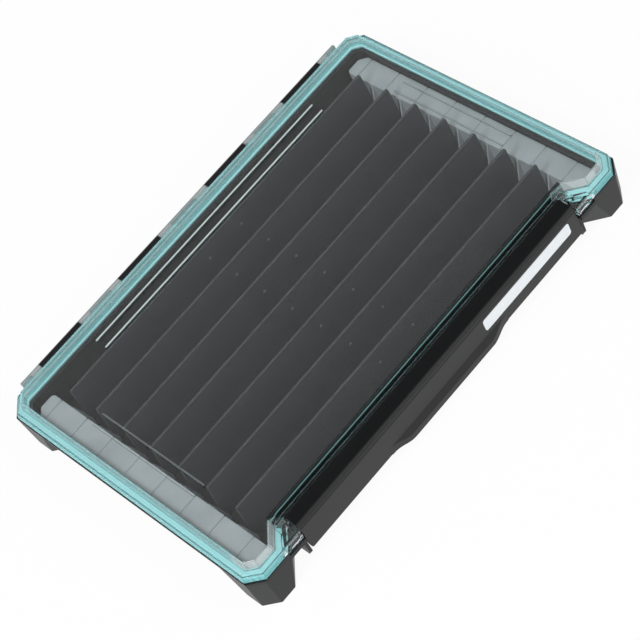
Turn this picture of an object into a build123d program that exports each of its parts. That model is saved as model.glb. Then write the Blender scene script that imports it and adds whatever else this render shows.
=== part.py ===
# Tackle tray: shallow tub on four corner feet, long upright dividers held in two end racks,
# clear hinged lid with a rubber seal, and a full-width front latch carried by the lid.
# Millimetres. +Z up from the table, +X to the right and -Y towards the person at the latch.
import os

from build123d import *

os.makedirs("parts", exist_ok=True)

# heights
foot_bottom = 0.0
floor_bottom = 1.4
floor_top = 3.4
low_rim_bottom = 24.9
low_rim_top = 28.2
rim_bottom = 28.4
rim_top = 30.0
lip_bottom = 29.2
lip_top = 31.0
skirt_bottom = 31.3
flange_bottom = 34.9
flange_top = 36.5
panel_inside = 42.3
panel_top = 44.0

# lid flange, seen from above
flange_x = 177.5
flange_front = -121.7
flange_back = 115.2
flange_corner = 9.5
flange_round = 0.7
skirt_flare = 1.2
skirt_wall = 0.9
skirt_draft = 13.0
skirt_back = 115.7
back_trim = 20.0

# tub rim, seen from above
rim_x = 179.3
rim_front = -123.3
rim_back = 116.8
rim_corner = 9.3
corner_growth = 0.586  # a cut corner of 45 degrees grows by this share of an offset

# corner feet: plan at the rim and at the table
foot_wall = 2.2
foot_edge_round = 1.6
foot_side_x = 166.0
foot_plans = {
    "rim": {"x": rim_x, "shrink": 0.0, "front": 146.8, "side": 33.8, "inner": 122.7},
    "table": {"x": rim_x - 1.1, "shrink": 1.3, "front": 156.9, "side": 23.5, "inner": 132.8},
}

# wall line of the raised lid panel, which the seal and the tub walls follow
wall_x = 173.3
wall_front = -117.6
wall_back = 111.0
wall_corner = 6.9
wall_latch = -105.0
wall_points = [
    (134.0, wall_latch),
    (140.6, -106.2),
    (152.0, wall_front),
    (wall_x - wall_corner, wall_front),
    (wall_x, wall_front + wall_corner),
    (wall_x, wall_back - wall_corner),
    (wall_x - wall_corner, wall_back),
]
panel_wall = 1.5
panel_taper = 11.3
panel_round = 0.8
seal_inner = -0.8
seal_outer = 3.0
seal_bottom = 30.05
seal_round = 0.7
seal_clearance = 0.1
rim_margin = 0.3
lip_margin = 0.4
bead_outer = -0.9
bead_inner = -2.1
bead_bottom = 33.4
bead_top = 36.0
low_seal_top = 31.6
low_seal_half = 142.0
low_seal_depth = 21.7
tub_outer = -2.6
tub_inner = -4.8

# front of the tub: open bay for the latch, with a lower rim and a catch rail
bay_half = 148.4
bay_depth = 20.0
rail_half = 134.2
rail_front = -112.6
rail_back = -100.0
post_x = 149.3
post_y = -120.1
post_size = (1.8, 6.4)
ear_x = 135.1
ear_half = 1.15
ear_round = 1.7

# hinge at the back
hinge_y = 118.9
hinge_z = 31.9
knuckle_radius = 4.4
hinge_pin_radius = 1.5
hinge_running = 0.06
hinge_pin_gap = 0.4
hinge_pin_end = 158.5
tub_bore_end = 143.0
lid_bore_end = 161.0
tub_knuckles = [(24.3, 63.7), (104.1, 142.4)]
lid_knuckles = [(0.3, 23.9), (64.1, 103.7), (142.8, 160.0)]
upper_hooks = [(12.0, 23.9), (64.1, 74.0), (93.8, 103.7), (142.8, 151.5)]
lower_hooks = [(0.3, 12.0), (74.0, 93.8), (151.5, 160.0)]
lid_rooms = [(-0.1, 24.3), (63.7, 104.1), (142.4, 160.6)]
lid_room_place = (118.5, 29.5)
lid_room_size = (8.4, 6.0)
knuckle_side_gap = 0.4
knuckle_clearance = 0.5
gusset_width = 2.0

# latch
latch_half = 133.2
latch_y = -107.8
latch_z = 35.6
barrel_radius = 2.4
latch_top = latch_z + barrel_radius
latch_shoulder = -118.1
latch_front = -120.8
latch_bottom = 11.3
latch_plate = 2.0
latch_corner = 3.0
latch_rib = 1.4
latch_pin_radius = 1.0
latch_pin_start = 128.0
latch_pin_end = 139.0
nose_tip = -112.9
nose_bottom = 25.2
nose_top = 27.4
block_start = 134.4
block_end = 148.0
block_bottom = 28.5
block_back = -109.4
block_boss = 5.2
block_seal_side = 141.8
latch_gap = 30.0
panel_fill_back = -102.5
latch_bore_spare = 0.4
pocket_depth = 6.2
shelf_thick = 1.2
shelf_half = 136.0
shelf_front = -108.8
shelf_back = -104.0
grip_half = 38.0
grip_reach = 2.3
grip_bottom = 8.2
grip_top = 18.1
grip_blend = 19.0
grip_drop_blend = 16.0
grip_cut = 70.0
label_x = 82.1
label_z = 26.7
label_size = (85.5, 10.6)
label_corner = 2.2
label_depth = 0.4
label_thick = 0.35
label_gap = 0.2

# thin raised lines on the lid panel
line_width = 1.0
line_height = 0.6
line_root = 0.2
back_lines_y = (90.4, 80.7)
back_line_length = 219.0
end_lines_x = (146.4, 155.3)
end_line_y = -3.5
end_line_length = 97.0

# end racks and dividers
lane_pitch = 26.55
divider_count = 7
divider_top_half = 146.2
divider_low_half = 147.3
divider_tongue_half = 150.4
divider_thick = 1.8
divider_top = 41.5
divider_corner = 1.0
divider_chamfer = 0.3
tongue_top = 9.0
tongue_shoulder = 13.0
dimple_x = 16.0
dimple_z = 28.5
dimple_radius = 1.1
dimple_depth = 0.5
dimple_sides = 8
rack_inner = 151.0
rack_outer = 168.2
rack_front = -109.3
rack_back = 102.4
rack_top = 26.0
rack_shell = 1.9
rack_round = 2.3
rack_chamfer = 0.4
rack_middle = (rack_inner + rack_outer) / 2
rack_width = rack_outer - rack_inner
rack_web = 1.3
groove_width = 0.8
groove_depth = 0.6
notch_size = 1.5
guide_end = 145.7
guide_gap = 2.2
guide_thick = 1.3
guide_block_top = 8.0
guide_top = 25.2
guide_root = 0.5


def mirrored_outline(points):
    """Closed outline from its right half, listed from the front round to the back."""
    left = [(-x, y) for x, y in reversed(points)]
    with BuildSketch() as outline:
        with BuildLine():
            Polyline(*points, *left, close=True)
        make_face()
    return outline.sketch


def cut_corner_plate(half_x, front, back, corner, grow=0.0):
    """Rectangle with four cut corners, grown outwards by a margin."""
    half = half_x + grow
    low = front - grow
    high = back + grow
    cut = corner + grow * corner_growth
    return mirrored_outline(
        [(half - cut, low), (half, low + cut), (half, high - cut), (half - cut, high)]
    )


def wall_face(grow):
    """Face inside the wall line, grown outwards by a margin."""
    with BuildSketch() as face:
        add(mirrored_outline(wall_points))
        offset(amount=grow, kind=Kind.INTERSECTION, mode=Mode.REPLACE)
    return face.sketch


def at_height(face, height):
    """The same face raised to a height."""
    return face.moved(Location((0, 0, height)))


def along_x(start, points):
    """Closed profile in Y and Z, standing at one X."""
    with BuildSketch(Plane.YZ.offset(start)) as profile:
        with BuildLine():
            Polyline(*points, close=True)
        make_face()
    return profile.sketch


def rounded_along_x(start, corners):
    """Closed profile in Y and Z from pairs of a corner and its radius."""
    with BuildSketch(Plane.YZ.offset(start)) as profile:
        with BuildLine():
            FilletPolyline(*[point for point, _ in corners],
                           radius=[radius for _, radius in corners], close=True)
        make_face()
    return profile.sketch


def foot_face(side, end, level, inset=0.0):
    """Plan of one corner foot at the rim or at the table, with rounded outer edges."""
    plan = foot_plans[level]
    edge_y = (rim_back if end > 0 else -rim_front) - plan["shrink"]
    inner = plan["inner"]
    deep = plan["side"] + plan["x"] - foot_side_x
    corners = [
        (plan["front"], 0, foot_edge_round),
        (plan["x"] - rim_corner, 0, foot_edge_round),
        (plan["x"], rim_corner, foot_edge_round),
        (plan["x"], plan["side"], foot_edge_round),
        (foot_side_x, deep, 0),
        (inner, deep, 0),
        (inner, plan["front"] - inner, 0),
    ]
    with BuildSketch() as face:
        with BuildLine():
            FilletPolyline(*[(side * x, end * (edge_y - v)) for x, v, _ in corners],
                           radius=[radius for _, _, radius in corners], close=True)
        make_face()
        if inset > 0:
            offset(amount=-inset, kind=Kind.INTERSECTION, mode=Mode.REPLACE)
    return at_height(face.sketch, rim_bottom if level == "rim" else foot_bottom)


def both_sides(spans):
    """Spans along X, with their mirror images."""
    return [span for low, high in spans for span in ((low, high), (-high, -low))]


# tub: floor, walls, rim, corner feet, hinge knuckles, latch rail and end cheeks
bracket_profile = [
    (110, rim_bottom),
    (110, rim_top),
    (114.3, rim_top),
    (hinge_y, hinge_z),
    (hinge_y, hinge_z - knuckle_radius),
    (115.4, rim_bottom),
]
gusset_profile = [(107.5, 19.5), (107.5, 28.6), (116.4, 28.6), (116.4, 27.6)]
ear_corners = [
    ((rail_back, 26), 0),
    ((rail_back, 9), 0),
    ((-107.5, 5.4), 0),
    ((-117.6, 5.0), ear_round),
    ((-120.1, 8.8), ear_round),
    ((-120.1, 26), 0),
]
with BuildPart() as base_tub:
    for side in (-1, 1):
        for end in (-1, 1):
            loft([foot_face(side, end, "table"), foot_face(side, end, "rim")], ruled=True)
    for side in (-1, 1):
        for end in (-1, 1):
            loft(
                [foot_face(side, end, "table", foot_wall), foot_face(side, end, "rim", foot_wall)],
                ruled=True,
                mode=Mode.SUBTRACT,
            )
    extrude(at_height(wall_face(tub_outer), floor_bottom), amount=rim_top - floor_bottom)
    # flat rim under the seal, open at the front where the latch and the lid blocks sit
    with BuildSketch(Plane.XY.offset(rim_bottom)):
        add(cut_corner_plate(rim_x, rim_front, rim_back, rim_corner))
        with Locations((0, rim_front)):
            Rectangle(2 * bay_half, 2 * bay_depth, mode=Mode.SUBTRACT)
    extrude(amount=rim_top - rim_bottom)
    extrude(at_height(wall_face(seal_outer + rim_margin), rim_bottom), amount=rim_top - rim_bottom)
    # raised lip under the lid skirt
    with BuildSketch(Plane.XY.offset(lip_bottom)):
        add(cut_corner_plate(rim_x, rim_front, rim_back, rim_corner))
        add(wall_face(seal_outer + lip_margin), mode=Mode.SUBTRACT)
        with Locations((0, rim_front)):
            Rectangle(2 * bay_half, 2 * bay_depth, mode=Mode.SUBTRACT)
    extrude(amount=lip_top - lip_bottom)
    # lower front rim: shelf under the lid blocks and rail behind the latch
    with BuildSketch(Plane.XY.offset(low_rim_bottom)):
        with Locations((0, (rim_front + rail_back) / 2)):
            Rectangle(2 * bay_half, rail_back - rim_front)
        with Locations((0, rim_front)):
            Rectangle(2 * rail_half, 2 * (rail_front - rim_front), mode=Mode.SUBTRACT)
    extrude(amount=low_rim_top - low_rim_bottom)
    for side in (-1, 1):
        with Locations((side * post_x, post_y, (low_rim_bottom + rim_top) / 2)):
            Box(*post_size, rim_top - low_rim_bottom)
        # ear beside each end of the latch
        extrude(rounded_along_x(side * ear_x, ear_corners), amount=ear_half, both=True)
    # hinge knuckles on brackets with gussets
    for low, high in both_sides(tub_knuckles):
        with BuildSketch(Plane.YZ.offset(low)):
            with Locations((hinge_y, hinge_z)):
                Circle(knuckle_radius)
            with BuildLine():
                Polyline(*bracket_profile, close=True)
            make_face()
        extrude(amount=high - low)
        for place in (low, (low + high - gusset_width) / 2, high - gusset_width):
            extrude(along_x(place, gusset_profile), amount=gusset_width)
    with BuildSketch(Plane.YZ.offset(-tub_bore_end)):
        with Locations((hinge_y, hinge_z)):
            Circle(hinge_pin_radius)
    extrude(amount=2 * tub_bore_end, mode=Mode.SUBTRACT)
    # room for the lid knuckles
    for low, high in both_sides(lid_rooms):
        with Locations(((low + high) / 2, *lid_room_place)):
            Box(high - low, *lid_room_size, mode=Mode.SUBTRACT)
    # inside of the tub
    extrude(at_height(wall_face(tub_inner), floor_top), amount=rim_top, mode=Mode.SUBTRACT)

base_tub.part.label = "base_tub"
export_step(base_tub.part, "parts/base_tub.step")

# end racks: hollow ledges with tapered guides for the divider ends
line_places = [lane_pitch * (i - 3.5) for i in range(8)]
divider_places = [lane_pitch * (i - 3) for i in range(divider_count)]
rack_plan = [
    (rack_inner, rack_front),
    (rack_outer - 2.8, rack_front),
    (rack_outer, rack_front + 2.8),
    (rack_outer, rack_back - 5),
    (rack_outer - 5, rack_back),
    (rack_inner + 2, rack_back),
    (rack_inner, rack_back - 2),
]
rack_rounds = [0] + 6 * [rack_round]
guide_profile = [
    (rack_inner + guide_root, floor_top),
    (guide_end, floor_top),
    (guide_end, guide_block_top),
    (rack_inner - guide_root, guide_top),
    (rack_inner + guide_root, guide_top),
]
for name, side in (("left_end_rack", -1), ("right_end_rack", 1)):
    with BuildPart() as rack:
        corners = [(side * x, y) for x, y in rack_plan]
        with BuildSketch(Plane.XY.offset(floor_top)):
            with BuildLine():
                FilletPolyline(*corners, radius=rack_rounds, close=True)
            make_face()
        extrude(amount=rack_top - floor_top)
        chamfer(rack.faces().sort_by(Axis.Z)[-1].edges(), rack_chamfer)
        with BuildSketch(Plane.XY.offset(floor_top)):
            with BuildLine():
                Polyline(*corners, close=True)
            make_face()
            offset(amount=-rack_shell, kind=Kind.INTERSECTION, mode=Mode.REPLACE)
            for y in line_places:
                with Locations((side * rack_middle, y)):
                    Rectangle(rack_width, rack_web, mode=Mode.SUBTRACT)
        extrude(amount=rack_top - floor_top - rack_shell, mode=Mode.SUBTRACT)
        # guides on both sides of each divider end, deepest at the floor
        for y in divider_places:
            for shift in (-1, 1):
                guide_y = y + shift * (guide_gap + guide_thick) / 2
                with BuildSketch(Plane.XZ.offset(-guide_y - guide_thick / 2)):
                    with BuildLine():
                        Polyline(*[(side * x, z) for x, z in guide_profile], close=True)
                    make_face()
                extrude(amount=guide_thick)
        # moulded lines across the ledge, notched at both ends
        with BuildSketch(Plane.XY.offset(rack_top)):
            for y in line_places:
                with Locations((side * rack_middle, y)):
                    Rectangle(2 * rack_width, groove_width)
        extrude(amount=-groove_depth, mode=Mode.SUBTRACT)
        with BuildSketch(Plane.XY.offset(rack_top)):
            for y in line_places:
                for edge in (rack_inner, rack_outer):
                    with Locations(Location((side * edge, y), 45)):
                        Rectangle(notch_size, notch_size)
        extrude(amount=-rack_top + floor_top, mode=Mode.SUBTRACT)
    rack.part.label = name
    export_step(rack.part, "parts/" + name + ".step")

# dividers: thin upright plates with eased top edges, a tongue at each end and two shallow marks
divider_outline = [
    (divider_tongue_half, floor_top),
    (divider_tongue_half, tongue_top),
    (divider_low_half, tongue_shoulder),
    (divider_top_half, divider_top - divider_corner),
    (divider_top_half - divider_corner, divider_top),
]
for number, y in enumerate(divider_places, start=1):
    with BuildPart() as divider:
        with BuildSketch(Plane.XZ.offset(-y - divider_thick / 2)):
            add(mirrored_outline(divider_outline))
        extrude(amount=divider_thick)
        chamfer(divider.edges().filter_by(Axis.X).group_by(Axis.Z)[-1], divider_chamfer)
        for x in (-dimple_x, dimple_x):
            with BuildSketch(Plane.XZ.offset(-y + divider_thick / 2)):
                with Locations((x, dimple_z)):
                    RegularPolygon(dimple_radius, dimple_sides)
            extrude(amount=-dimple_depth, mode=Mode.SUBTRACT)
    divider.part.label = "divider_" + str(number)
    export_step(divider.part, "parts/divider_" + str(number) + ".step")

# steel hinge pins, one from each end, meeting at the middle of the hinge
for name, side in (("left_hinge_pin", -1), ("right_hinge_pin", 1)):
    with BuildPart() as pin:
        with BuildSketch(Plane.YZ.offset(side * hinge_pin_gap)):
            with Locations((hinge_y, hinge_z)):
                Circle(hinge_pin_radius)
        extrude(amount=side * (hinge_pin_end - hinge_pin_gap))
    pin.part.label = name
    export_step(pin.part, "parts/" + name + ".step")

# lid: flange and skirt, raised panel, seal channel, latch blocks and hinge hooks
hook_web_profile = [
    (114.2, flange_bottom),
    (114.2, flange_top),
    (flange_back, flange_top),
    (hinge_y, hinge_z + knuckle_radius),
    (hinge_y, hinge_z),
    (115.2, 33.6),
]
lower_hook_slot = [(115.8, 32.4), (115.8, 38), (118.6, 38), (118.6, 32.4)]
upper_hook_slot = [(119.4, 26), (124, 26), (124, 31.0), (119.4, 31.0)]
with BuildPart() as lid_shell:
    flare = cut_corner_plate(flange_x, flange_front, flange_back, flange_corner, skirt_flare)
    extrude(
        at_height(flare, skirt_bottom), amount=flange_top - skirt_bottom, taper=skirt_draft
    )
    fillet(lid_shell.faces().sort_by(Axis.Z)[-1].edges(), flange_round)
    # straight at the back, clear of the tub knuckles
    with Locations((0, skirt_back + back_trim / 2, flange_top)):
        Box(2 * rim_x, back_trim, back_trim, mode=Mode.SUBTRACT)
    inside = cut_corner_plate(flange_x, flange_front, flange_back, flange_corner, -skirt_wall)
    extrude(
        at_height(inside, skirt_bottom), amount=flange_bottom - skirt_bottom, mode=Mode.SUBTRACT
    )
    # gap for the latch
    with Locations((0, wall_latch - latch_gap / 2, flange_top)):
        Box(2 * block_start, latch_gap, latch_gap, mode=Mode.SUBTRACT)
    # blocks beside the latch ends, filled down to the lowered part of the seal
    for side in (-1, 1):
        with BuildSketch(Plane.XY.offset(block_bottom)):
            with BuildLine():
                Polyline(
                    (side * block_start, flange_front), (side * block_end, flange_front),
                    (side * block_end, -118.4), (side * 139.0, block_back),
                    (side * block_start, block_back), close=True,
                )
            make_face()
        extrude(amount=flange_top - block_bottom)
        with BuildSketch(Plane.XY.offset(low_seal_top)):
            with BuildLine():
                Polyline(
                    (side * block_start, -104), (side * block_seal_side, -106.6),
                    (side * block_seal_side, -112.2), (side * 139.0, block_back),
                    (side * block_start, block_back), close=True,
                )
            make_face()
        extrude(amount=flange_top - low_seal_top)
    # shelf over the lowered seal, behind the latch
    with BuildSketch(Plane.XY.offset(low_seal_top)):
        with Locations((0, (shelf_front + shelf_back) / 2)):
            Rectangle(2 * shelf_half, shelf_back - shelf_front)
    extrude(amount=shelf_thick)
    # panel wall behind the latch, down to the lowered seal
    with BuildSketch(Plane.XY.offset(low_seal_top)):
        add(wall_face(0))
        with Locations((0, panel_fill_back - latch_gap / 2)):
            Rectangle(2 * block_seal_side, latch_gap, mode=Mode.INTERSECT)
    extrude(amount=flange_top - low_seal_top)
    # raised panel
    extrude(at_height(wall_face(0), flange_top), amount=panel_top - flange_top, taper=panel_taper)
    extrude(
        at_height(wall_face(-panel_wall), rim_top),
        amount=flange_top - rim_top,
        mode=Mode.SUBTRACT,
    )
    extrude(
        at_height(wall_face(-panel_wall), flange_top),
        amount=panel_inside - flange_top,
        taper=panel_taper,
        mode=Mode.SUBTRACT,
    )
    fillet(lid_shell.faces().sort_by(Axis.Z)[-1].edges(), panel_round)
    # bead that keeps the seal in its channel
    with BuildSketch(Plane.XY.offset(bead_bottom)):
        add(wall_face(bead_outer))
        add(wall_face(bead_inner), mode=Mode.SUBTRACT)
    extrude(amount=bead_top - bead_bottom)
    # pin bosses and triangular pockets of the latch blocks
    for side in (-1, 1):
        with BuildSketch(Plane.YZ.offset(side * block_start)):
            with Locations((latch_y, latch_z)):
                Circle(barrel_radius)
        extrude(amount=side * block_boss)
        with BuildSketch(Plane.XY.offset(flange_top)):
            with BuildLine():
                Polyline(
                    (side * 136.3, -111.6), (side * 136.3, -119.9), (side * 144.6, -119.9),
                    close=True,
                )
            make_face()
        extrude(amount=-pocket_depth, mode=Mode.SUBTRACT)
        with BuildSketch(Plane.YZ.offset(side * latch_half)):
            with Locations((latch_y, latch_z)):
                Circle(latch_pin_radius + hinge_running)
        bore = latch_pin_end + latch_bore_spare - latch_half
        extrude(amount=side * bore, mode=Mode.SUBTRACT)
    # thin raised lines on the panel
    with BuildSketch(Plane.XY.offset(panel_top - line_root)):
        for y in back_lines_y:
            with Locations((0, y)):
                Rectangle(back_line_length, line_width)
        for x in end_lines_x:
            with Locations((x, end_line_y), (-x, end_line_y)):
                Rectangle(line_width, end_line_length)
    extrude(amount=line_height + line_root)
    # hinge hooks and the room for the tub knuckles
    for low, high in both_sides(tub_knuckles):
        with BuildSketch(Plane.YZ.offset(low - knuckle_side_gap)):
            with Locations((hinge_y, hinge_z)):
                Circle(knuckle_radius + knuckle_clearance)
        extrude(amount=high - low + 2 * knuckle_side_gap, mode=Mode.SUBTRACT)
    for low, high in both_sides(lid_knuckles):
        with BuildSketch(Plane.YZ.offset(low)):
            with Locations((hinge_y, hinge_z)):
                Circle(knuckle_radius)
            with BuildLine():
                Polyline(*hook_web_profile, close=True)
            make_face()
        extrude(amount=high - low)
    with BuildSketch(Plane.YZ.offset(-lid_bore_end)):
        with Locations((hinge_y, hinge_z)):
            Circle(hinge_pin_radius + hinge_running)
    extrude(amount=2 * lid_bore_end, mode=Mode.SUBTRACT)
    for spans, slot in ((lower_hooks, lower_hook_slot), (upper_hooks, upper_hook_slot)):
        for low, high in both_sides(spans):
            extrude(along_x(low, slot), amount=high - low, mode=Mode.SUBTRACT)

lid_shell.part.label = "lid_shell"
export_step(lid_shell.part, "parts/lid_shell.step")

# rubber seal in the lid channel, lower where it passes under the latch
with BuildPart() as lid_seal:
    with BuildSketch(Plane.XY.offset(seal_bottom)):
        add(wall_face(seal_outer))
        add(wall_face(seal_inner), mode=Mode.SUBTRACT)
    extrude(amount=flange_bottom - seal_clearance - seal_bottom)
    fillet(lid_seal.faces().sort_by(Axis.Z)[-1].edges(), seal_round)
    with BuildSketch(Plane.XY.offset(low_seal_top - seal_clearance)):
        with Locations((0, flange_front)):
            Rectangle(2 * low_seal_half, 2 * low_seal_depth)
    extrude(amount=flange_bottom, mode=Mode.SUBTRACT)

lid_seal.part.label = "lid_seal"
export_step(lid_seal.part, "parts/lid_seal.step")

# latch: long channel with a round pivot edge, inner nose, stiffening ribs and a finger lip
inner_face = latch_front + latch_plate
latch_corners = [
    ((latch_y, latch_top), 0),
    ((latch_shoulder, latch_top), 2.4),
    ((latch_shoulder - 1.5, latch_top - 1.0), 0.6),
    ((latch_shoulder - 1.2, latch_top - 1.9), 0.5),
    ((latch_front, latch_top - 3.6), 1.5),
    ((latch_front, latch_bottom), 0.8),
    ((inner_face, latch_bottom), 0.4),
    ((inner_face, nose_bottom), 0),
    ((nose_tip, nose_bottom + 0.6), 0.5),
    ((nose_tip, nose_top), 0.5),
    ((inner_face, nose_top), 0),
    ((inner_face, latch_top - 4.4), 0),
    ((inner_face + 1.6, latch_top - 2), 0),
    ((latch_y, latch_top - 2), 0),
]
rib_profile = [
    (latch_front + 1, latch_bottom + 3),
    (inner_face, latch_bottom + 3),
    (-113.0, nose_bottom),
    (-113.0, 29.4),
    (-110.4, 31.6),
    (-109.4, 34.6),
    (-109.4, latch_top - 1),
    (latch_shoulder, latch_top - 1),
    (latch_front + 1, latch_top - 5),
]
rib_places = (-latch_half, -88.7, -44.7, 43.3, 87.3, latch_half - latch_rib)
lip_start = grip_half + grip_blend
drop_start = grip_half + grip_drop_blend
with BuildPart() as latch_bar:
    extrude(rounded_along_x(-latch_half, latch_corners), amount=2 * latch_half)
    with BuildSketch(Plane.YZ.offset(-latch_half)):
        with Locations((latch_y, latch_z)):
            Circle(barrel_radius)
    extrude(amount=2 * latch_half)
    for place in rib_places:
        extrude(along_x(place, rib_profile), amount=latch_rib)
    # rounded lower corners of the front plate
    for side in (-1, 1):
        centre = (side * (latch_half - latch_corner), latch_bottom + latch_corner)
        with BuildSketch(Plane.XZ.offset(-inner_face)):
            with Locations((centre[0] + side * latch_corner, centre[1] - latch_corner)):
                Rectangle(2 * latch_corner, 2 * latch_corner)
            with Locations(centre):
                Circle(latch_corner, mode=Mode.SUBTRACT)
        extrude(amount=2 * latch_plate, mode=Mode.SUBTRACT)
    # finger lip at the middle of the lower edge
    with BuildSketch(Plane.XY.offset(grip_bottom)):
        with BuildLine():
            Line((-lip_start, inner_face), (lip_start, inner_face))
            Line((lip_start, inner_face), (lip_start, latch_front))
            Spline(
                (lip_start, latch_front),
                (grip_half, latch_front - grip_reach),
                tangents=((-1, 0), (-1, 0)),
            )
            Line((grip_half, latch_front - grip_reach), (-grip_half, latch_front - grip_reach))
            Spline(
                (-grip_half, latch_front - grip_reach),
                (-lip_start, latch_front),
                tangents=((-1, 0), (-1, 0)),
            )
            Line((-lip_start, latch_front), (-lip_start, inner_face))
        make_face()
    extrude(amount=grip_top - grip_bottom)
    # shape of the lip from the front: lower in the middle, blended into the straight edge
    with BuildSketch(Plane.XZ.offset(-inner_face + latch_plate)):
        with BuildLine():
            Line((-grip_cut, 0), (grip_cut, 0))
            Line((grip_cut, 0), (grip_cut, latch_bottom))
            Line((grip_cut, latch_bottom), (drop_start, latch_bottom))
            Spline(
                (drop_start, latch_bottom),
                (grip_half, grip_bottom),
                tangents=((-1, 0), (-1, 0)),
            )
            Line((grip_half, grip_bottom), (-grip_half, grip_bottom))
            Spline(
                (-grip_half, grip_bottom),
                (-drop_start, latch_bottom),
                tangents=((-1, 0), (-1, 0)),
            )
            Line((-drop_start, latch_bottom), (-grip_cut, latch_bottom))
            Line((-grip_cut, latch_bottom), (-grip_cut, 0))
        make_face()
    extrude(amount=4 * grip_reach, both=True, mode=Mode.SUBTRACT)
    # slope of the lip from the side: flush with the front face at its top
    slope = [
        (latch_front, grip_top),
        (latch_front - 3, grip_top),
        (latch_front - 3, 11.4),
    ]
    extrude(along_x(-grip_cut, slope), amount=2 * grip_cut, mode=Mode.SUBTRACT)
    # bores for the pivot pins
    for side in (-1, 1):
        with BuildSketch(Plane.YZ.offset(side * latch_pin_start)):
            with Locations((latch_y, latch_z)):
                Circle(latch_pin_radius)
        extrude(amount=side * (latch_pin_end - latch_pin_start), mode=Mode.SUBTRACT)
    # shallow seat for the label
    with BuildSketch(Plane.XZ.offset(-latch_front - label_depth)):
        with Locations((label_x, label_z)):
            RectangleRounded(
                label_size[0] + 2 * label_gap, label_size[1] + 2 * label_gap, label_corner
            )
    extrude(amount=latch_plate, mode=Mode.SUBTRACT)

latch_bar.part.label = "latch_bar"
export_step(latch_bar.part, "parts/latch_bar.step")

with BuildPart() as latch_pins:
    for side in (-1, 1):
        with BuildSketch(Plane.YZ.offset(side * latch_pin_start)):
            with Locations((latch_y, latch_z)):
                Circle(latch_pin_radius)
        extrude(amount=side * (latch_pin_end - latch_pin_start))

latch_pins.part.label = "latch_pins"
export_step(latch_pins.part, "parts/latch_pins.step")

with BuildPart() as latch_label:
    with BuildSketch(Plane.XZ.offset(-latch_front - label_depth)):
        with Locations((label_x, label_z)):
            RectangleRounded(label_size[0], label_size[1], label_corner - label_gap)
    extrude(amount=label_thick)

latch_label.part.label = "latch_label"
export_step(latch_label.part, "parts/latch_label.step")
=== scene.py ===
import math

import bpy
from mathutils import Matrix, Vector


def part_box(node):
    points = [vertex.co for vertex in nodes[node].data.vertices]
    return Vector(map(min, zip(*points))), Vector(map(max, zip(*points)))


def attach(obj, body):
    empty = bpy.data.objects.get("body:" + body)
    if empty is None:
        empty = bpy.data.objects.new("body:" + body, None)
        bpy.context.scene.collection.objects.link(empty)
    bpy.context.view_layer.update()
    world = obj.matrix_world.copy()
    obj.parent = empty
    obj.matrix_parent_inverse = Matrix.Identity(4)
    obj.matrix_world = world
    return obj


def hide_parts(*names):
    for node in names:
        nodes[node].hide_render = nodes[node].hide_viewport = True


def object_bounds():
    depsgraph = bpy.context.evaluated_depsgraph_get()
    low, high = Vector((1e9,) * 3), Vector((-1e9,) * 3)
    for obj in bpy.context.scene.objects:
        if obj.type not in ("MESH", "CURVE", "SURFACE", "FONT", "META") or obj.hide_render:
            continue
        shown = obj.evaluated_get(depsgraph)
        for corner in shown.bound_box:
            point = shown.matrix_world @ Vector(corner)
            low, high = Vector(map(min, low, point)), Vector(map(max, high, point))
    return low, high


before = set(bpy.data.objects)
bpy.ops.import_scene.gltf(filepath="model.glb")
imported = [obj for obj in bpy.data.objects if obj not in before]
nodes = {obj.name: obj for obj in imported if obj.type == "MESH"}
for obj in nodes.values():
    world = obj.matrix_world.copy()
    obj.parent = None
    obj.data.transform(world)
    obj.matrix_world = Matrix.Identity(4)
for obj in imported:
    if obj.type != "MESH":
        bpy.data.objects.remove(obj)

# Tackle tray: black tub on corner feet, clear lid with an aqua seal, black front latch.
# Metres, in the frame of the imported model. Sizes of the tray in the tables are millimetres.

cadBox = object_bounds()
mm = 0.001
dividerNames = ["divider_" + str(number) for number in range(1, 8)]

# used by several materials: octaves of noise, the height of a full bump, and the rays that
# find a rounded edge
detail = {"cloud": 3.0, "grain": 2.0, "bumpHeight": 0.05, "edgeSamples": 4}


def srgbToLinear(hexColour):
    # "#RRGGBB" to the linear values that shaders take
    parts = [int(hexColour[i:i + 2], 16) / 255 for i in (1, 3, 5)]
    linear = [c / 12.92 if c <= 0.04045 else ((c + 0.055) / 1.055) ** 2.4 for c in parts]
    return (*linear, 1.0)


def addNode(tree, kind, settings=None, links=None, values=None):
    # one shader or geometry node: attributes to set, sources for its inputs, and input values;
    # an input is named, or numbered where several share a name
    node = tree.nodes.new(kind)
    for name, value in (settings or {}).items():
        setattr(node, name, value)
    for key, value in (values or {}).items():
        node.inputs[key].default_value = value
    for key, source in (links or {}).items():
        tree.links.new(source, node.inputs[key])
    return node


def newMaterial(name):
    material = bpy.data.materials.new(name)
    material.use_nodes = True
    material.node_tree.nodes.clear()
    return material, material.node_tree


def finishMaterial(tree, shader):
    addNode(tree, "ShaderNodeOutputMaterial", links={"Surface": shader.outputs[0]})


def mottled(tree, place, look):
    # two close tones of one material, in soft clouds of a real size
    cloud = addNode(tree, "ShaderNodeTexNoise", links={"Vector": place.outputs["Object"]},
                    values={"Scale": 1 / (look["cloudSize"] * mm), "Detail": detail["cloud"]})
    return addNode(tree, "ShaderNodeMix", {"data_type": "RGBA"},
                   links={0: cloud.outputs["Fac"]},
                   values={6: srgbToLinear(look["dark"]), 7: srgbToLinear(look["light"])})


def seenRays(tree, names):
    # 1 for a ray of any of these kinds, 0 for the rest
    rays = addNode(tree, "ShaderNodeLightPath")
    total = rays.outputs[names[0]]
    for name in names[1:]:
        either = addNode(tree, "ShaderNodeMath", {"operation": "MAXIMUM"},
                         links={0: total, 1: rays.outputs[name]})
        total = either.outputs[0]
    return total


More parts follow.
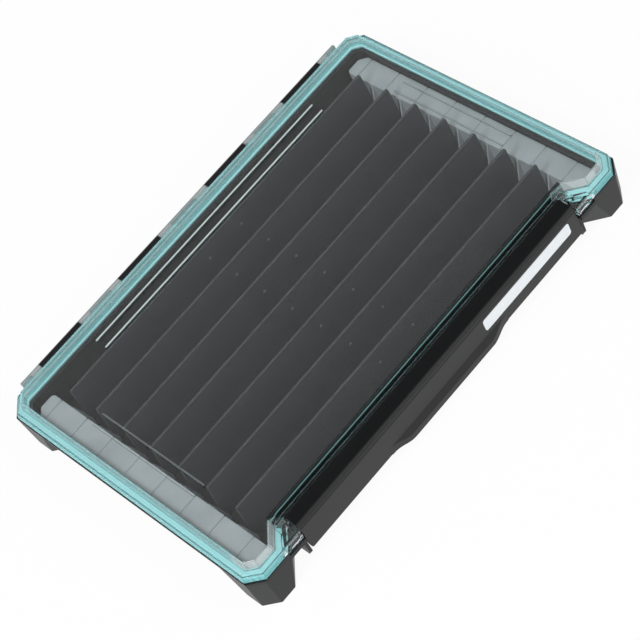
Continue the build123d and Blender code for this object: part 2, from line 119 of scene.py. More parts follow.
def paint(thing, material):
    thing.data.materials.clear()
    thing.data.materials.append(material)


# black moulded plastic

def mouldedBlack(name, look):
    # polypropylene from a spark-eroded mould: fine even grain, soft broad highlights,
    # and small edge radii that catch a line of light
    material, tree = newMaterial(name)
    place = addNode(tree, "ShaderNodeTexCoord")
    tone = mottled(tree, place, look)
    grain = addNode(tree, "ShaderNodeTexNoise", links={"Vector": place.outputs["Object"]},
                    values={"Scale": 1 / (look["grainSize"] * mm), "Detail": detail["grain"]})
    dull = addNode(tree, "ShaderNodeMapRange", links={"Value": grain.outputs["Fac"]},
                   values={"To Min": look["roughness"] - look["grainSpread"],
                           "To Max": look["roughness"] + look["grainSpread"]})
    edge = addNode(tree, "ShaderNodeBevel", {"samples": detail["edgeSamples"]},
                   values={"Radius": look["edge"] * mm})
    bump = addNode(tree, "ShaderNodeBump",
                   links={"Height": grain.outputs["Fac"], "Normal": edge.outputs["Normal"]},
                   values={"Strength": look["grainDepth"], "Distance": detail["bumpHeight"] * mm})
    shader = addNode(tree, "ShaderNodeBsdfPrincipled",
                     links={"Base Color": tone.outputs[2], "Normal": bump.outputs["Normal"],
                            "Roughness": dull.outputs["Result"]},
                     values={"IOR": 1.49, "Specular IOR Level": look["gloss"]})
    finishMaterial(tree, shader)
    return material


tubLook = {"dark": "#17181A", "light": "#1C1D1F", "cloudSize": 40, "grainSize": 0.6,
           "grainDepth": 0.01, "grainSpread": 0.02, "roughness": 0.42, "gloss": 0.32, "edge": 0.15}
dividerLook = {"dark": "#292B2F", "light": "#2E3034", "cloudSize": 30, "grainSize": 0.6,
               "grainDepth": 0.0, "grainSpread": 0.02, "roughness": 0.5, "gloss": 0.4,
               "edge": 0.12}
# the marks' lighter tone is a painted highlight on each dome
markHighlightLook = {"dark": "#606368", "light": "#6A6D72", "cloudSize": 4, "grainSize": 0.6,
            "grainDepth": 0.0, "grainSpread": 0.02, "roughness": 0.35, "gloss": 0.5, "edge": 0.1}
latchLook = {"dark": "#0D0E0F", "light": "#111213", "cloudSize": 30, "grainSize": 0.5,
             "grainDepth": 0.1, "grainSpread": 0.05, "roughness": 0.36, "gloss": 0.42,
             "edge": 0.4}


# clear lid

def clearPlastic(name, look):
    # injection-moulded polycarbonate: water clear and glossy, with painted shade along its edges
    # and a painted reflection of the seal close behind its walls; shadow and bounced rays pass
    # straight through
    material, tree = newMaterial(name)
    place = addNode(tree, "ShaderNodeTexCoord")
    axes = addNode(tree, "ShaderNodeSeparateXYZ", links={"Vector": place.outputs["Object"]})
    outward = addNode(tree, "ShaderNodeMath", {"operation": "ABSOLUTE"},
                      links={0: axes.outputs["X"]})
    face = addNode(tree, "ShaderNodeNewGeometry")
    edge = addNode(tree, "ShaderNodeBevel", {"samples": detail["edgeSamples"]},
                   values={"Radius": look["edge"] * mm})

    # the rounded normal leaves the true one only near an edge, where painted shade darkens the
    # clear plastic
    turn = addNode(tree, "ShaderNodeVectorMath", {"operation": "DOT_PRODUCT"},
                   links={0: edge.outputs["Normal"], 1: face.outputs["True Normal"]})
    nearEdge = addNode(tree, "ShaderNodeMapRange", links={"Value": turn.outputs["Value"]},
                       values={"From Min": look["edgeFlat"], "From Max": look["edgeTurned"],
                               "To Min": 0.0, "To Max": look["edgeShade"]})
    glass = addNode(tree, "ShaderNodeMix", {"data_type": "RGBA"},
                    links={0: nearEdge.outputs["Result"]},
                    values={6: srgbToLinear(look["tint"]), 7: srgbToLinear(look["edgeShadeColour"])})
    clear = addNode(tree, "ShaderNodeBsdfPrincipled",
                    links={"Normal": edge.outputs["Normal"], "Base Color": glass.outputs[2]},
                    values={"IOR": look["ior"], "Roughness": look["roughness"],
                            "Transmission Weight": 1.0})

    # masks by place: 1 on one side of a limit and 0 on the other
    measured = {"height": axes.outputs["Z"], "depth": axes.outputs["Y"],
                "outward": outward.outputs[0]}
    masks = {}
    for mask, measure, test, limit in (
            ("belowTop", "height", "LESS_THAN", "outlineTop"),
            ("onLine", "height", "GREATER_THAN", "lineBase"),
            ("aboveFlange", "height", "GREATER_THAN", "wallBase"),
            ("panelEdge", "height", "GREATER_THAN", "latchDarkBase"),
            ("behindLatch", "depth", "GREATER_THAN", "latchSide"),
            ("bayWall", "depth", "LESS_THAN", "latchLineBack"),
            ("bayEdge", "depth", "LESS_THAN", "latchDarkBack"),
            ("atHinge", "depth", "GREATER_THAN", "hingeSide"),
            ("besideLatch", "outward", "GREATER_THAN", "earSide"),
            ("alongLatch", "outward", "LESS_THAN", "earSide"),
            ("pastBlock", "outward", "GREATER_THAN", "blockSide")):
        masks[mask] = addNode(tree, "ShaderNodeMath", {"operation": test},
                              links={0: measured[measure]},
                              values={1: look[limit] * mm}).outputs[0]

    def paintLightLayer(below, where, strength=1.0, links=None, values=None):
        # a dull tone of painted light or shade over the plastic below, where all of the masks are
        # 1
        share = where[0]
        for mask in where[1:]:
            share = addNode(tree, "ShaderNodeMath", {"operation": "MULTIPLY"},
                            links={0: share, 1: mask}).outputs[0]
        part = addNode(tree, "ShaderNodeMath", {"operation": "MULTIPLY"}, links={0: share},
                       values={1: strength})
        tone = addNode(tree, "ShaderNodeBsdfDiffuse", links=links, values=values)
        return addNode(tree, "ShaderNodeMixShader",
                       links={0: part.outputs[0], 1: below, 2: tone.outputs[0]}).outputs[0]

    # edges below the panel top also get thin lines of painted shade, where a thick clear moulding
    # shows dark lines
    outlined = paintLightLayer(clear.outputs[0], [masks["belowTop"], nearEdge.outputs["Result"]],
                    look["outlineDark"], values={"Color": srgbToLinear(look["edgeShadeColour"])})

    # painted highlights on the raised lines: strongest on the pair by the hinge, faint on the left
    # pair and none on the right pair
    hingeLineHighlight = addNode(tree, "ShaderNodeMapRange", {"interpolation_type": "SMOOTHSTEP"},
                   links={"Value": axes.outputs["Y"]},
                   values={"From Min": look["hingeHighlightFrom"] * mm, "From Max": look["hingeHighlightTo"] * mm,
                           "To Min": 0.0, "To Max": look["lineWhite"]})
    faint = addNode(tree, "ShaderNodeMapRange", links={"Value": axes.outputs["X"]},
                    values={"From Min": look["faintFrom"] * mm, "From Max": look["faintTo"] * mm,
                            "To Min": look["lineFaint"], "To Max": 0.0})
    lineHighlightAmount = addNode(tree, "ShaderNodeMath", {"operation": "MAXIMUM"},
                       links={0: hingeLineHighlight.outputs["Result"], 1: faint.outputs["Result"]})
    highlightedLines = paintLightLayer(outlined, [masks["onLine"], lineHighlightAmount.outputs[0]],
                   values={"Color": srgbToLinear(look["lineHighlightColour"])})

    # a painted reflection of the seal's colour in the walls beside it, strongly below the flange
    # and weakly in the raised panel, but not by the latch, darkened by painted shade near edges;
    # at the two front corners the panel walls get a painted highlight instead; a wall is told by
    # the lid's own up, which holds when the lid is open
    ownNormal = addNode(tree, "ShaderNodeVectorTransform",
                        {"vector_type": "NORMAL", "convert_from": "WORLD", "convert_to": "OBJECT"},
                        links={"Vector": face.outputs["True Normal"]})
    ownAxes = addNode(tree, "ShaderNodeSeparateXYZ", links={"Vector": ownNormal.outputs[0]})
    facingUp = addNode(tree, "ShaderNodeMath", {"operation": "ABSOLUTE"},
                       links={0: ownAxes.outputs["Z"]})
    isWall = addNode(tree, "ShaderNodeMath", {"operation": "LESS_THAN"},
                     links={0: facingUp.outputs[0]}, values={1: look["wallFacing"]})
    pastLatch = addNode(tree, "ShaderNodeMix", {"data_type": "FLOAT"},
                        links={0: masks["aboveFlange"], 2: masks["pastBlock"],
                               3: masks["besideLatch"]})
    offLatch = addNode(tree, "ShaderNodeMath", {"operation": "MAXIMUM"},
                       links={0: masks["behindLatch"], 1: pastLatch.outputs[0]})
    atCorner = addNode(tree, "ShaderNodeMath", {"operation": "SUBTRACT", "use_clamp": True},
                       links={0: masks["besideLatch"], 1: masks["behindLatch"]})
    panelLightShare = addNode(tree, "ShaderNodeMix", {"data_type": "FLOAT"},
                        links={0: atCorner.outputs[0]},
                        values={2: look["wallSealLight"], 3: look["cornerHighlight"]})
    paintedLightShare = addNode(tree, "ShaderNodeMix", {"data_type": "FLOAT"},
                   links={0: masks["aboveFlange"], 3: panelLightShare.outputs[0]},
                   values={2: look["lowSealLight"]})
    panelLightTone = addNode(tree, "ShaderNodeMix", {"data_type": "RGBA"},
                        links={0: atCorner.outputs[0]},
                        values={6: srgbToLinear(look["wallSealLightColour"]),
                                7: srgbToLinear(look["cornerHighlightColour"])})
    sealLightTone = addNode(tree, "ShaderNodeMix", {"data_type": "RGBA"},
                        links={0: masks["aboveFlange"], 7: panelLightTone.outputs[2]},
                        values={6: srgbToLinear(look["lowSealLightColour"])})
    wallLightTone = addNode(tree, "ShaderNodeMix", {"data_type": "RGBA"},
                       links={0: nearEdge.outputs["Result"], 6: sealLightTone.outputs[2]},
                       values={7: srgbToLinear(look["edgeShadeColour"])})
    sealLightPainted = paintLightLayer(highlightedLines, [isWall.outputs[0], offLatch.outputs[0], paintedLightShare.outputs[0]],
                links={"Color": wallLightTone.outputs[2]})

    # along the latch the panel wall gets the seal only as one thin painted line of its colour, and
    # its upper edge a painted reflection of the dark latch
    atLine = addNode(tree, "ShaderNodeMath", {"operation": "COMPARE"},
                     links={0: axes.outputs["Z"]},
                     values={1: look["latchLineHeight"] * mm, 2: look["latchLineHalf"] * mm})
    lined = paintLightLayer(sealLightPainted, [atLine.outputs[0], masks["bayWall"], masks["alongLatch"]],
                 look["latchLineShare"], values={"Color": srgbToLinear(look["latchLineColour"])})
    mirrored = paintLightLayer(lined, [masks["panelEdge"], masks["bayEdge"], masks["alongLatch"]],
                    look["latchDarkShare"],
                    values={"Color": srgbToLinear(look["latchDarkColour"])})

    # the rounded outer edge of the flange bends light away; a painted shade line stands in for
    # that
    atRound = addNode(tree, "ShaderNodeMath", {"operation": "COMPARE"},
                      links={0: axes.outputs["Z"]},
                      values={1: look["roundHeight"] * mm, 2: look["roundHalf"] * mm})
    sloping = addNode(tree, "ShaderNodeMath", {"operation": "COMPARE"},
                      links={0: facingUp.outputs[0]},
                      values={1: look["roundFacing"], 2: look["roundSpread"]})
    rimmed = paintLightLayer(mirrored, [atRound.outputs[0], sloping.outputs[0]], look["roundDark"],
                  values={"Color": srgbToLinear(look["edgeShadeColour"])})

    # the hinge hooks are thick and curved, so they bend the light; painted grey with painted dark
    # outlines stands in for that
    hookTone = addNode(tree, "ShaderNodeMix", {"data_type": "RGBA"},
                       links={0: nearEdge.outputs["Result"]},
                       values={6: srgbToLinear(look["hookColour"]),
                               7: srgbToLinear(look["hookLine"])})
    hooked = paintLightLayer(rimmed, [masks["atHinge"]], look["hookShare"],
                  links={"Color": hookTone.outputs[2]})

    through = addNode(tree, "ShaderNodeBsdfTransparent",
                      values={"Color": srgbToLinear(look["shadowTint"])})
    mix = addNode(tree, "ShaderNodeMixShader",
                  links={0: seenRays(tree, ["Is Shadow Ray", "Is Diffuse Ray"]), 1: hooked,
                         2: through.outputs[0]})
    finishMaterial(tree, mix)
    return material


# places are given for the shut lid; edgeFlat, edgeTurned, wallFacing and roundFacing are cosines,
# and what ends in Light, Highlight, Share, Dark, White or Faint is how much of a painted light or
# shade tone shows
lidLook = {"tint": "#FBFDFD", "shadowTint": "#FCFEFE", "roughness": 0.02, "ior": 1.5,
           "edge": 0.5, "edgeFlat": 0.99, "edgeTurned": 0.85, "edgeShadeColour": "#3E5658",
           "edgeShade": 0.8, "outlineTop": 43.5, "outlineDark": 0.7,
           "lineBase": 44.05, "lineWhite": 0.62, "lineFaint": 0.11, "lineHighlightColour": "#E8F4F4",
           "hingeHighlightFrom": 60, "hingeHighlightTo": 75, "faintFrom": -100, "faintTo": 100,
           "wallFacing": 0.9, "wallBase": 36.6, "wallSealLight": 0.25, "wallSealLightColour": "#A6CDD0",
           "lowSealLight": 0.45, "lowSealLightColour": "#7CC6C9", "cornerHighlight": 0.22, "cornerHighlightColour": "#DDE8E8",
           "latchSide": -100, "earSide": 141, "blockSide": 152.5,
           "latchLineHeight": 41.5, "latchLineHalf": 0.5, "latchLineBack": -103.3,
           "latchLineShare": 0.8, "latchLineColour": "#6C9A98",
           "latchDarkBase": 43.0, "latchDarkBack": -102.4, "latchDarkShare": 0.85,
           "latchDarkColour": "#24282A",
           "roundHeight": 36.1, "roundHalf": 0.5, "roundFacing": 0.68, "roundSpread": 0.3,
           "roundDark": 0.7,
           "hingeSide": 117.2, "hookShare": 0.6, "hookColour": "#A4ABAB", "hookLine": "#202425"}


# aqua seal

def siliconeRubber(name, look):
    # cast silicone: smooth, with a soft sheen
    material, tree = newMaterial(name)
    place = addNode(tree, "ShaderNodeTexCoord")
    tone = mottled(tree, place, look)
    shader = addNode(tree, "ShaderNodeBsdfPrincipled", links={"Base Color": tone.outputs[2]},
                     values={"Roughness": look["roughness"], "IOR": 1.41})
    finishMaterial(tree, shader)
    return material


sealLook = {"dark": "#99D4D7", "light": "#A3DBDE", "cloudSize": 20, "roughness": 0.35}


# frosted racks

def frostedPlastic(name, look):
    # natural polypropylene: milky grey and dull, slightly uneven
    material, tree = newMaterial(name)
    place = addNode(tree, "ShaderNodeTexCoord")
    tone = mottled(tree, place, look)
    edge = addNode(tree, "ShaderNodeBevel", {"samples": detail["edgeSamples"]},
                   values={"Radius": look["edge"] * mm})
    shader = addNode(tree, "ShaderNodeBsdfPrincipled",
                     links={"Base Color": tone.outputs[2], "Normal": edge.outputs["Normal"]},
                     values={"Roughness": look["roughness"], "IOR": 1.49})
    finishMaterial(tree, shader)
    return material


rackLook = {"dark": "#8C9498", "light": "#AEB4B7", "cloudSize": 22, "roughness": 0.45, "edge": 0.6}


# steel pins and label

def drawnSteel(name, look):
    # cold-drawn rod: bright, with fine lines along its length
    material, tree = newMaterial(name)
    place = addNode(tree, "ShaderNodeTexCoord")
    stretch = addNode(tree, "ShaderNodeMapping", links={"Vector": place.outputs["Object"]},
                      values={"Scale": (1 / look["lineStretch"], 1.0, 1.0)})
    lines = addNode(tree, "ShaderNodeTexNoise", links={"Vector": stretch.outputs["Vector"]},
                    values={"Scale": 1 / (look["lineWidth"] * mm), "Detail": detail["grain"]})
    bump = addNode(tree, "ShaderNodeBump", links={"Height": lines.outputs["Fac"]},
                   values={"Strength": look["lineDepth"], "Distance": detail["bumpHeight"] * mm})
    shader = addNode(tree, "ShaderNodeBsdfPrincipled", links={"Normal": bump.outputs["Normal"]},
                     values={"Base Color": srgbToLinear(look["colour"]), "Metallic": 1.0,
                             "Roughness": look["roughness"]})
    finishMaterial(tree, shader)
    return material


pinLook = {"colour": "#C8C9CB", "lineWidth": 0.4, "lineStretch": 20, "lineDepth": 0.1,
           "roughness": 0.3}
darkPinLook = {"colour": "#3C3E41", "lineWidth": 0.4, "lineStretch": 20, "lineDepth": 0.1,
               "roughness": 0.4}


def coatedPaper(name, look):
    # white label stock: satin, faintly mottled
    material, tree = newMaterial(name)
    place = addNode(tree, "ShaderNodeTexCoord")
    tone = mottled(tree, place, look)
    shader = addNode(tree, "ShaderNodeBsdfPrincipled", links={"Base Color": tone.outputs[2]},
                     values={"Roughness": look["roughness"], "IOR": 1.5})
    finishMaterial(tree, shader)
    return material


labelLook = {"dark": "#E2E7EB", "light": "#E8ECF0", "cloudSize": 3, "roughness": 0.5}

tubPlastic = mouldedBlack("mouldedTubPlastic", tubLook)
dividerPlastic = mouldedBlack("mouldedDividerPlastic", dividerLook)
markPaintedHighlight = mouldedBlack("ejectorMarkPaintedHighlight", markHighlightLook)
latchPlastic = mouldedBlack("mouldedLatchPlastic", latchLook)
lidPlastic = clearPlastic("clearPolycarbonate", lidLook)
sealRubber = siliconeRubber("aquaSilicone", sealLook)
rackPlastic = frostedPlastic("frostedPolypropylene", rackLook)
pinSteel = drawnSteel("drawnSteelRod", pinLook)
darkSteel = drawnSteel("blackenedSteelRod", darkPinLook)
labelStock = coatedPaper("whiteLabelStock", labelLook)

finishes = {"base_tub": tubPlastic, "left_end_rack": rackPlastic, "right_end_rack": rackPlastic,
            "left_hinge_pin": pinSteel, "right_hinge_pin": pinSteel, "lid_shell": lidPlastic,
            "lid_seal": sealRubber, "latch_bar": latchPlastic, "latch_pins": darkSteel,
            "latch_label": labelStock}
for name in dividerNames:
    finishes[name] = dividerPlastic
for name, material in finishes.items():
    paint(nodes[name], material)
print("materials done")


# pieces that repeat or follow a line

def startTree(name, sizes):
    # a tree that takes points or a line, and sizes by name
    tree = bpy.data.node_groups.new(name, "GeometryNodeTree")
    tree.interface.new_socket(name="Geometry", in_out="OUTPUT", socket_type="NodeSocketGeometry")
    tree.interface.new_socket(name="Geometry", in_out="INPUT", socket_type="NodeSocketGeometry")
    for size in sizes:
        tree.interface.new_socket(name=size, in_out="INPUT", socket_type="NodeSocketFloat")
    return tree


def closeTree(tree, geometry, material):
    real = addNode(tree, "GeometryNodeRealizeInstances", links={"Geometry": geometry})
    coloured = addNode(tree, "GeometryNodeSetMaterial", links={"Geometry": real.outputs[0]},
                       values={"Material": material})
    addNode(tree, "NodeGroupOutput", links={"Geometry": coloured.outputs[0]})


def growPiece(name, tree, sizes, points, edges, material):
    # runs a tree on a line of points and keeps the result as a plain mesh
    start = bpy.data.meshes.new(name)
    start.from_pydata(points, edges, [])
    seed = bpy.data.objects.new(name + "Seed", start)
    bpy.context.scene.collection.objects.link(seed)
    modifier = seed.modifiers.new("nodes", "NODES")
    modifier.node_group = tree
    for socket in tree.interface.items_tree:
        if socket.in_out == "INPUT" and socket.name in sizes:
            modifier[socket.identifier] = sizes[socket.name]
    evaluated = seed.evaluated_get(bpy.context.evaluated_depsgraph_get())
    mesh = bpy.data.meshes.new_from_object(evaluated)
    seed.modifiers.remove(modifier)
    bpy.data.objects.remove(seed)
    piece = bpy.data.objects.new(name, mesh)
    bpy.context.scene.collection.objects.link(piece)
    paint(piece, material)
    return piece


# aqua seal: body, two fine beads, an inner foot and a thin outer lip, run along the lid's wall
# line; inner and outer are measured from that line, and tops and bottoms from the table

seal = {"wallX": 173.3, "wallFront": -117.6, "wallBack": 111.0, "wallCorner": 6.9,
        "cornerTurn": 45,
        "bayFront": -105.0, "bayBend": (140.6, -106.2), "bayStart": 134.0, "earStart": 152.0,
        "pressedGap": 0.05,
        "bodyInner": -0.8, "bodyOuter": 3.2, "bodyTop": 34.55, "bodyRound": 0.45, "roundSteps": 3,
        "footInner": -2.6, "footTop": 33.3, "lipOuter": 5.0, "lipTop": 31.2, "bottom": 30.05,
        "beadRadius": 0.35, "beadInner": 0.5, "beadOuter": 2.0, "beadHeight": 34.4, "beadSides": 8,
        "pressedTop": 31.45, "pressedHalf": 142.2, "pressedBack": -100.0, "pressedFront": -107.9,
        "bayHalf": 134.9, "bayEdge": -105.2}
sealAcross = ["bodyInner", "bodyOuter", "footInner", "lipOuter", "beadInner", "beadOuter"]
sealInputs = sealAcross + ["bodyTop", "bodyRound", "footTop", "lipTop", "bottom", "beadRadius",
                           "beadHeight", "pressedTop", "pressedHalf", "pressedBack",
                           "pressedFront", "bayHalf", "bayEdge"]


def wallLine(sizes):
    # the lid's wall line, right half then left half, with a point each side of the pressed part
    x, corner, front, back = (sizes["wallX"], sizes["wallCorner"], sizes["wallFront"],
                              sizes["wallBack"])
    bendX, bendY = sizes["bayBend"]
    step, gap = sizes["pressedHalf"] - bendX, sizes["pressedGap"]
    right = [(sizes["bayStart"], sizes["bayFront"]), (bendX, bendY),
             (bendX + step - gap, bendY - step + gap), (bendX + step + gap, bendY - step - gap),
             (sizes["earStart"], front), (x - corner, front), (x, front + corner),
             (x, back - corner), (x - corner, back)]
    left = [(-px, py) for px, py in reversed(right)]
    return [(px * mm, py * mm, 0.0) for px, py in right + left]


def sealTree(material):
    tree = startTree("sealAlongWall", sealInputs)
    given = addNode(tree, "NodeGroupInput").outputs
    path = addNode(tree, "GeometryNodeMeshToCurve", links={"Mesh": given["Geometry"]})
    upright = addNode(tree, "GeometryNodeSetCurveNormal", {"mode": "Z_UP"},
                      links={"Curve": path.outputs[0]})

    def midway(a, b):
        both = addNode(tree, "ShaderNodeMath", {"operation": "ADD"}, links={0: a, 1: b})
        return addNode(tree, "ShaderNodeMath", {"operation": "MULTIPLY"},
                       links={0: both.outputs[0]}, values={1: 0.5}).outputs[0]

    def swept(profile, across, height):
        # one section, set beside the path and run along it; a path's own Y points down
        down = addNode(tree, "ShaderNodeMath", {"operation": "MULTIPLY"}, links={0: height},
                       values={1: -1.0})
        spot = addNode(tree, "ShaderNodeCombineXYZ", links={"X": across, "Y": down.outputs[0]})
        moved = addNode(tree, "GeometryNodeTransform",
                        links={"Geometry": profile, "Translation": spot.outputs[0]})
        return addNode(tree, "GeometryNodeCurveToMesh",
                       links={"Curve": upright.outputs[0], "Profile Curve": moved.outputs[0]},
                       values={"Fill Caps": True}).outputs[0]

    def block(inner, outer, top, rounding=None):
        # a rectangular section, standing on the seal's underside
        wide = addNode(tree, "ShaderNodeMath", {"operation": "SUBTRACT"},
                       links={0: outer, 1: inner})
        tall = addNode(tree, "ShaderNodeMath", {"operation": "SUBTRACT"},
                       links={0: top, 1: given["bottom"]})
        outline = addNode(tree, "GeometryNodeCurvePrimitiveQuadrilateral",
                          links={"Width": wide.outputs[0], "Height": tall.outputs[0]})
        if rounding is not None:
            outline = addNode(tree, "GeometryNodeFilletCurve", {"mode": "POLY"},
                              links={"Curve": outline.outputs[0], "Radius": rounding},
                              values={"Count": seal["roundSteps"]})
        return swept(outline.outputs[0], midway(inner, outer), midway(top, given["bottom"]))

    body = block(given["bodyInner"], given["bodyOuter"], given["bodyTop"], given["bodyRound"])
    lip = block(given["bodyInner"], given["lipOuter"], given["lipTop"])
    foot = block(given["footInner"], given["bodyOuter"], given["footTop"])
    ring = addNode(tree, "GeometryNodeCurvePrimitiveCircle",
                   links={"Radius": given["beadRadius"]}, values={"Resolution": seal["beadSides"]})
    innerBead = swept(ring.outputs[0], given["beadInner"], given["beadHeight"])
    outerBead = swept(ring.outputs[0], given["beadOuter"], given["beadHeight"])
    joined = addNode(tree, "GeometryNodeJoinGeometry")
    for part in (body, lip, foot, innerBead, outerBead):
        tree.links.new(part, joined.inputs[0])

    # under the latch the seal is pressed low and kept behind the latch pins and the panel wall
    where = addNode(tree, "ShaderNodeSeparateXYZ",
                    links={"Vector": addNode(tree, "GeometryNodeInputPosition").outputs[0]})
    side = addNode(tree, "ShaderNodeMath", {"operation": "ABSOLUTE"},
                   links={0: where.outputs["X"]})
    near = addNode(tree, "ShaderNodeMath", {"operation": "LESS_THAN"},
                   links={0: side.outputs[0], 1: given["pressedHalf"]})
    front = addNode(tree, "ShaderNodeMath", {"operation": "LESS_THAN"},
                    links={0: where.outputs["Y"], 1: given["pressedBack"]})
    inBay = addNode(tree, "FunctionNodeBooleanMath", {"operation": "AND"},
                    links={0: near.outputs[0], 1: front.outputs[0]})
    low = addNode(tree, "ShaderNodeMath", {"operation": "MINIMUM"},
                  links={0: where.outputs["Z"], 1: given["pressedTop"]})
    middle = addNode(tree, "ShaderNodeMath", {"operation": "LESS_THAN"},
                     links={0: side.outputs[0], 1: given["bayHalf"]})
    limit = addNode(tree, "ShaderNodeMix", {"data_type": "FLOAT"},
                    links={0: middle.outputs[0], 2: given["pressedFront"], 3: given["bayEdge"]})
    kept = addNode(tree, "ShaderNodeMath", {"operation": "MAXIMUM"},
                   links={0: where.outputs["Y"], 1: limit.outputs[0]})
    spot = addNode(tree, "ShaderNodeCombineXYZ",
                   links={"X": where.outputs["X"], "Y": kept.outputs[0], "Z": low.outputs[0]})
    pressed = addNode(tree, "GeometryNodeSetPosition",
                      links={"Geometry": joined.outputs[0], "Selection": inBay.outputs[0],
                             "Position": spot.outputs[0]})
    closeTree(tree, pressed.outputs[0], material)
    return tree


sealPoints = wallLine(seal)
sealEdges = [(i, (i + 1) % len(sealPoints)) for i in range(len(sealPoints))]
sealSizes = {name: seal[name] * mm for name in sealInputs}
# a section stands square to the line halfway round a corner, so it is drawn wider for that
for name in sealAcross:
    sealSizes[name] /= math.cos(math.radians(seal["cornerTurn"] / 2))
lidSeal = growPiece("moulded_seal", sealTree(sealRubber), sealSizes, sealPoints, sealEdges,
                    sealRubber)
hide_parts("lid_seal")
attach(lidSeal, "lid")
print("seal done")

# round ejector marks on the dividers, two on the front of each, painted lighter as a painted
# highlight

marks = {"side": 16.0, "height": 28.5, "radius": 1.05, "rise": 0.35, "sink": 0.1,
         "segments": 12, "rings": 8}


def markTree(material):
    tree = startTree("ejectorMarks", ["radius", "rise"])
    given = addNode(tree, "NodeGroupInput").outputs
    dome = addNode(tree, "GeometryNodeMeshUVSphere", links={"Radius": given["radius"]},
                   values={"Segments": marks["segments"], "Rings": marks["rings"]})
    flatness = addNode(tree, "ShaderNodeMath", {"operation": "DIVIDE"},
                       links={0: given["rise"], 1: given["radius"]})
    squeeze = addNode(tree, "ShaderNodeCombineXYZ", links={"Y": flatness.outputs[0]},
                      values={"X": 1.0, "Z": 1.0})
    flat = addNode(tree, "GeometryNodeTransform",
                   links={"Geometry": dome.outputs[0], "Scale": squeeze.outputs[0]})
    placed = addNode(tree, "GeometryNodeInstanceOnPoints",
                     links={"Points": given["Geometry"], "Instance": flat.outputs[0]})
    closeTree(tree, placed.outputs[0], material)
    return tree


markPoints = []
for name in dividerNames:
    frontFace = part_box(name)[0][1]
    for side in (-1, 1):
        markPoints.append((side * marks["side"] * mm, frontFace + marks["sink"] * mm,
                           marks["height"] * mm))
markSizes = {"radius": marks["radius"] * mm, "rise": marks["rise"] * mm}
dividerMarks = growPiece("divider_marks", markTree(markPaintedHighlight), markSizes, markPoints, [],
                         markPaintedHighlight)
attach(dividerMarks, "base")
print("marks done")

# stage: white floor, soft light, camera where the photograph was taken

stage = {"floorSize": 30.0, "floorDrop": 0.02, "floorColour": "#F2F2F2", "floorGlow": 0.94,
         "keyPlace": (-1.3, -0.5, 1.6), "keySize": 0.5, "keyPower": 17,
         "fillPlace": (0.5, -1.5, 1.1), "fillSize": 0.4, "fillPower": 3,
         "lampTarget": (0.0, 0.0, 0.02),
         "skyLevel": 0.95, "cardSide": (0.24, 0.62, 0.75), "cardEdge": 0.55, "cardMiddle": 0.95,
         "cardLevel": 0.08}

floorMesh = bpy.data.meshes.new("studio_floor")
reach = stage["floorSize"] / 2
floorMesh.from_pydata([(-reach, -reach, 0), (reach, -reach, 0), (reach, reach, 0),
                       (-reach, reach, 0)], [], [(0, 1, 2, 3)])
floor = bpy.data.objects.new("studio_floor", floorMesh)
floor.location.z = cadBox[0][2] - stage["floorDrop"] * mm
bpy.context.scene.collection.objects.link(floor)

floorMaterial, floorTree = newMaterial("studioPaper")
floorPaint = addNode(floorTree, "ShaderNodeBsdfDiffuse",
                     values={"Color": srgbToLinear(stage["floorColour"])})
floorGlow = addNode(floorTree, "ShaderNodeEmission", values={"Strength": 1.0})
floorSeen = addNode(floorTree, "ShaderNodeMath", {"operation": "MULTIPLY"},
                    links={0: seenRays(floorTree, ["Is Camera Ray", "Is Glossy Ray",
                                                   "Is Transmission Ray"])},
                    values={1: stage["floorGlow"]})
floorMix = addNode(floorTree, "ShaderNodeMixShader",
                   links={0: floorSeen.outputs[0], 1: floorPaint.outputs[0],
                          2: floorGlow.outputs[0]})
finishMaterial(floorTree, floorMix)
paint(floor, floorMaterial)


def softLamp(name, place, size, power):
    lamp = bpy.data.lights.new(name, "AREA")
    lamp.energy = power
    lamp.size = size
    holder = bpy.data.objects.new(name, lamp)
    holder.location = place
    aim = Vector(stage["lampTarget"]) - Vector(place)
    holder.rotation_euler = aim.to_track_quat("-Z", "Y").to_euler()
    bpy.context.scene.collection.objects.link(holder)


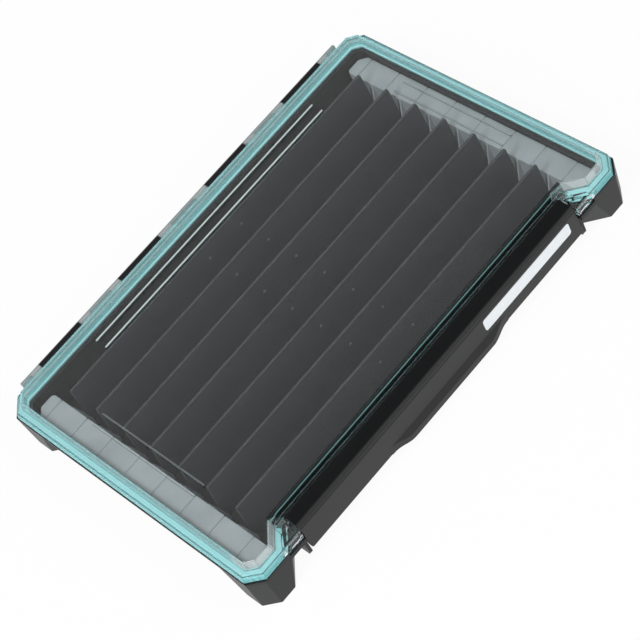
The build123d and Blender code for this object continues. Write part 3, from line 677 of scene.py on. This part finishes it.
softLamp("keyLamp", stage["keyPlace"], stage["keySize"], stage["keyPower"])
softLamp("fillLamp", stage["fillPlace"], stage["fillSize"], stage["fillPower"])

# pale studio all round, with a soft dark card above and behind the tray, which its flat
# glossy tops reflect
world = bpy.data.worlds.new("studioWorld")
world.use_nodes = True
sky = world.node_tree
sky.nodes.clear()
direction = addNode(sky, "ShaderNodeTexCoord")
card = Vector(stage["cardSide"]).normalized()
towards = addNode(sky, "ShaderNodeVectorMath", {"operation": "DOT_PRODUCT"},
                  links={0: direction.outputs["Generated"]}, values={1: card})
level = addNode(sky, "ShaderNodeMapRange", {"interpolation_type": "SMOOTHSTEP"},
                links={"Value": towards.outputs["Value"]},
                values={"From Min": stage["cardEdge"], "From Max": stage["cardMiddle"],
                        "To Min": stage["skyLevel"], "To Max": stage["cardLevel"]})
plain = addNode(sky, "ShaderNodeMix", {"data_type": "FLOAT"},
                links={0: seenRays(sky, ["Is Camera Ray", "Is Transmission Ray"]),
                       2: level.outputs["Result"]}, values={3: 1.0})
backdrop = addNode(sky, "ShaderNodeBackground", links={"Strength": plain.outputs[0]},
                   values={"Color": (1.0, 1.0, 1.0, 1.0)})
addNode(sky, "ShaderNodeOutputWorld", links={"Surface": backdrop.outputs[0]})
bpy.context.scene.world = world
bpy.context.scene.view_settings.view_transform = "Standard"

view = {"place": (-0.34338, -0.82834, 1.10497), "target": (-0.0103058, -0.0168871, 0.02),
        "roll": 30.829, "lens": 121.89, "sensor": 36.0}
cameraData = bpy.data.cameras.new("photoCamera")
cameraData.lens = view["lens"]
cameraData.sensor_width = view["sensor"]
cameraData.sensor_fit = "HORIZONTAL"
camera = bpy.data.objects.new("photoCamera", cameraData)
look = Vector(view["target"]) - Vector(view["place"])
aimed = look.to_track_quat("-Z", "Y").to_matrix().to_4x4()
camera.matrix_world = (Matrix.Translation(view["place"]) @ aimed
                       @ Matrix.Rotation(math.radians(-view["roll"]), 4, "Z"))
bpy.context.scene.collection.objects.link(camera)
bpy.context.scene.camera = camera
print("stage done")
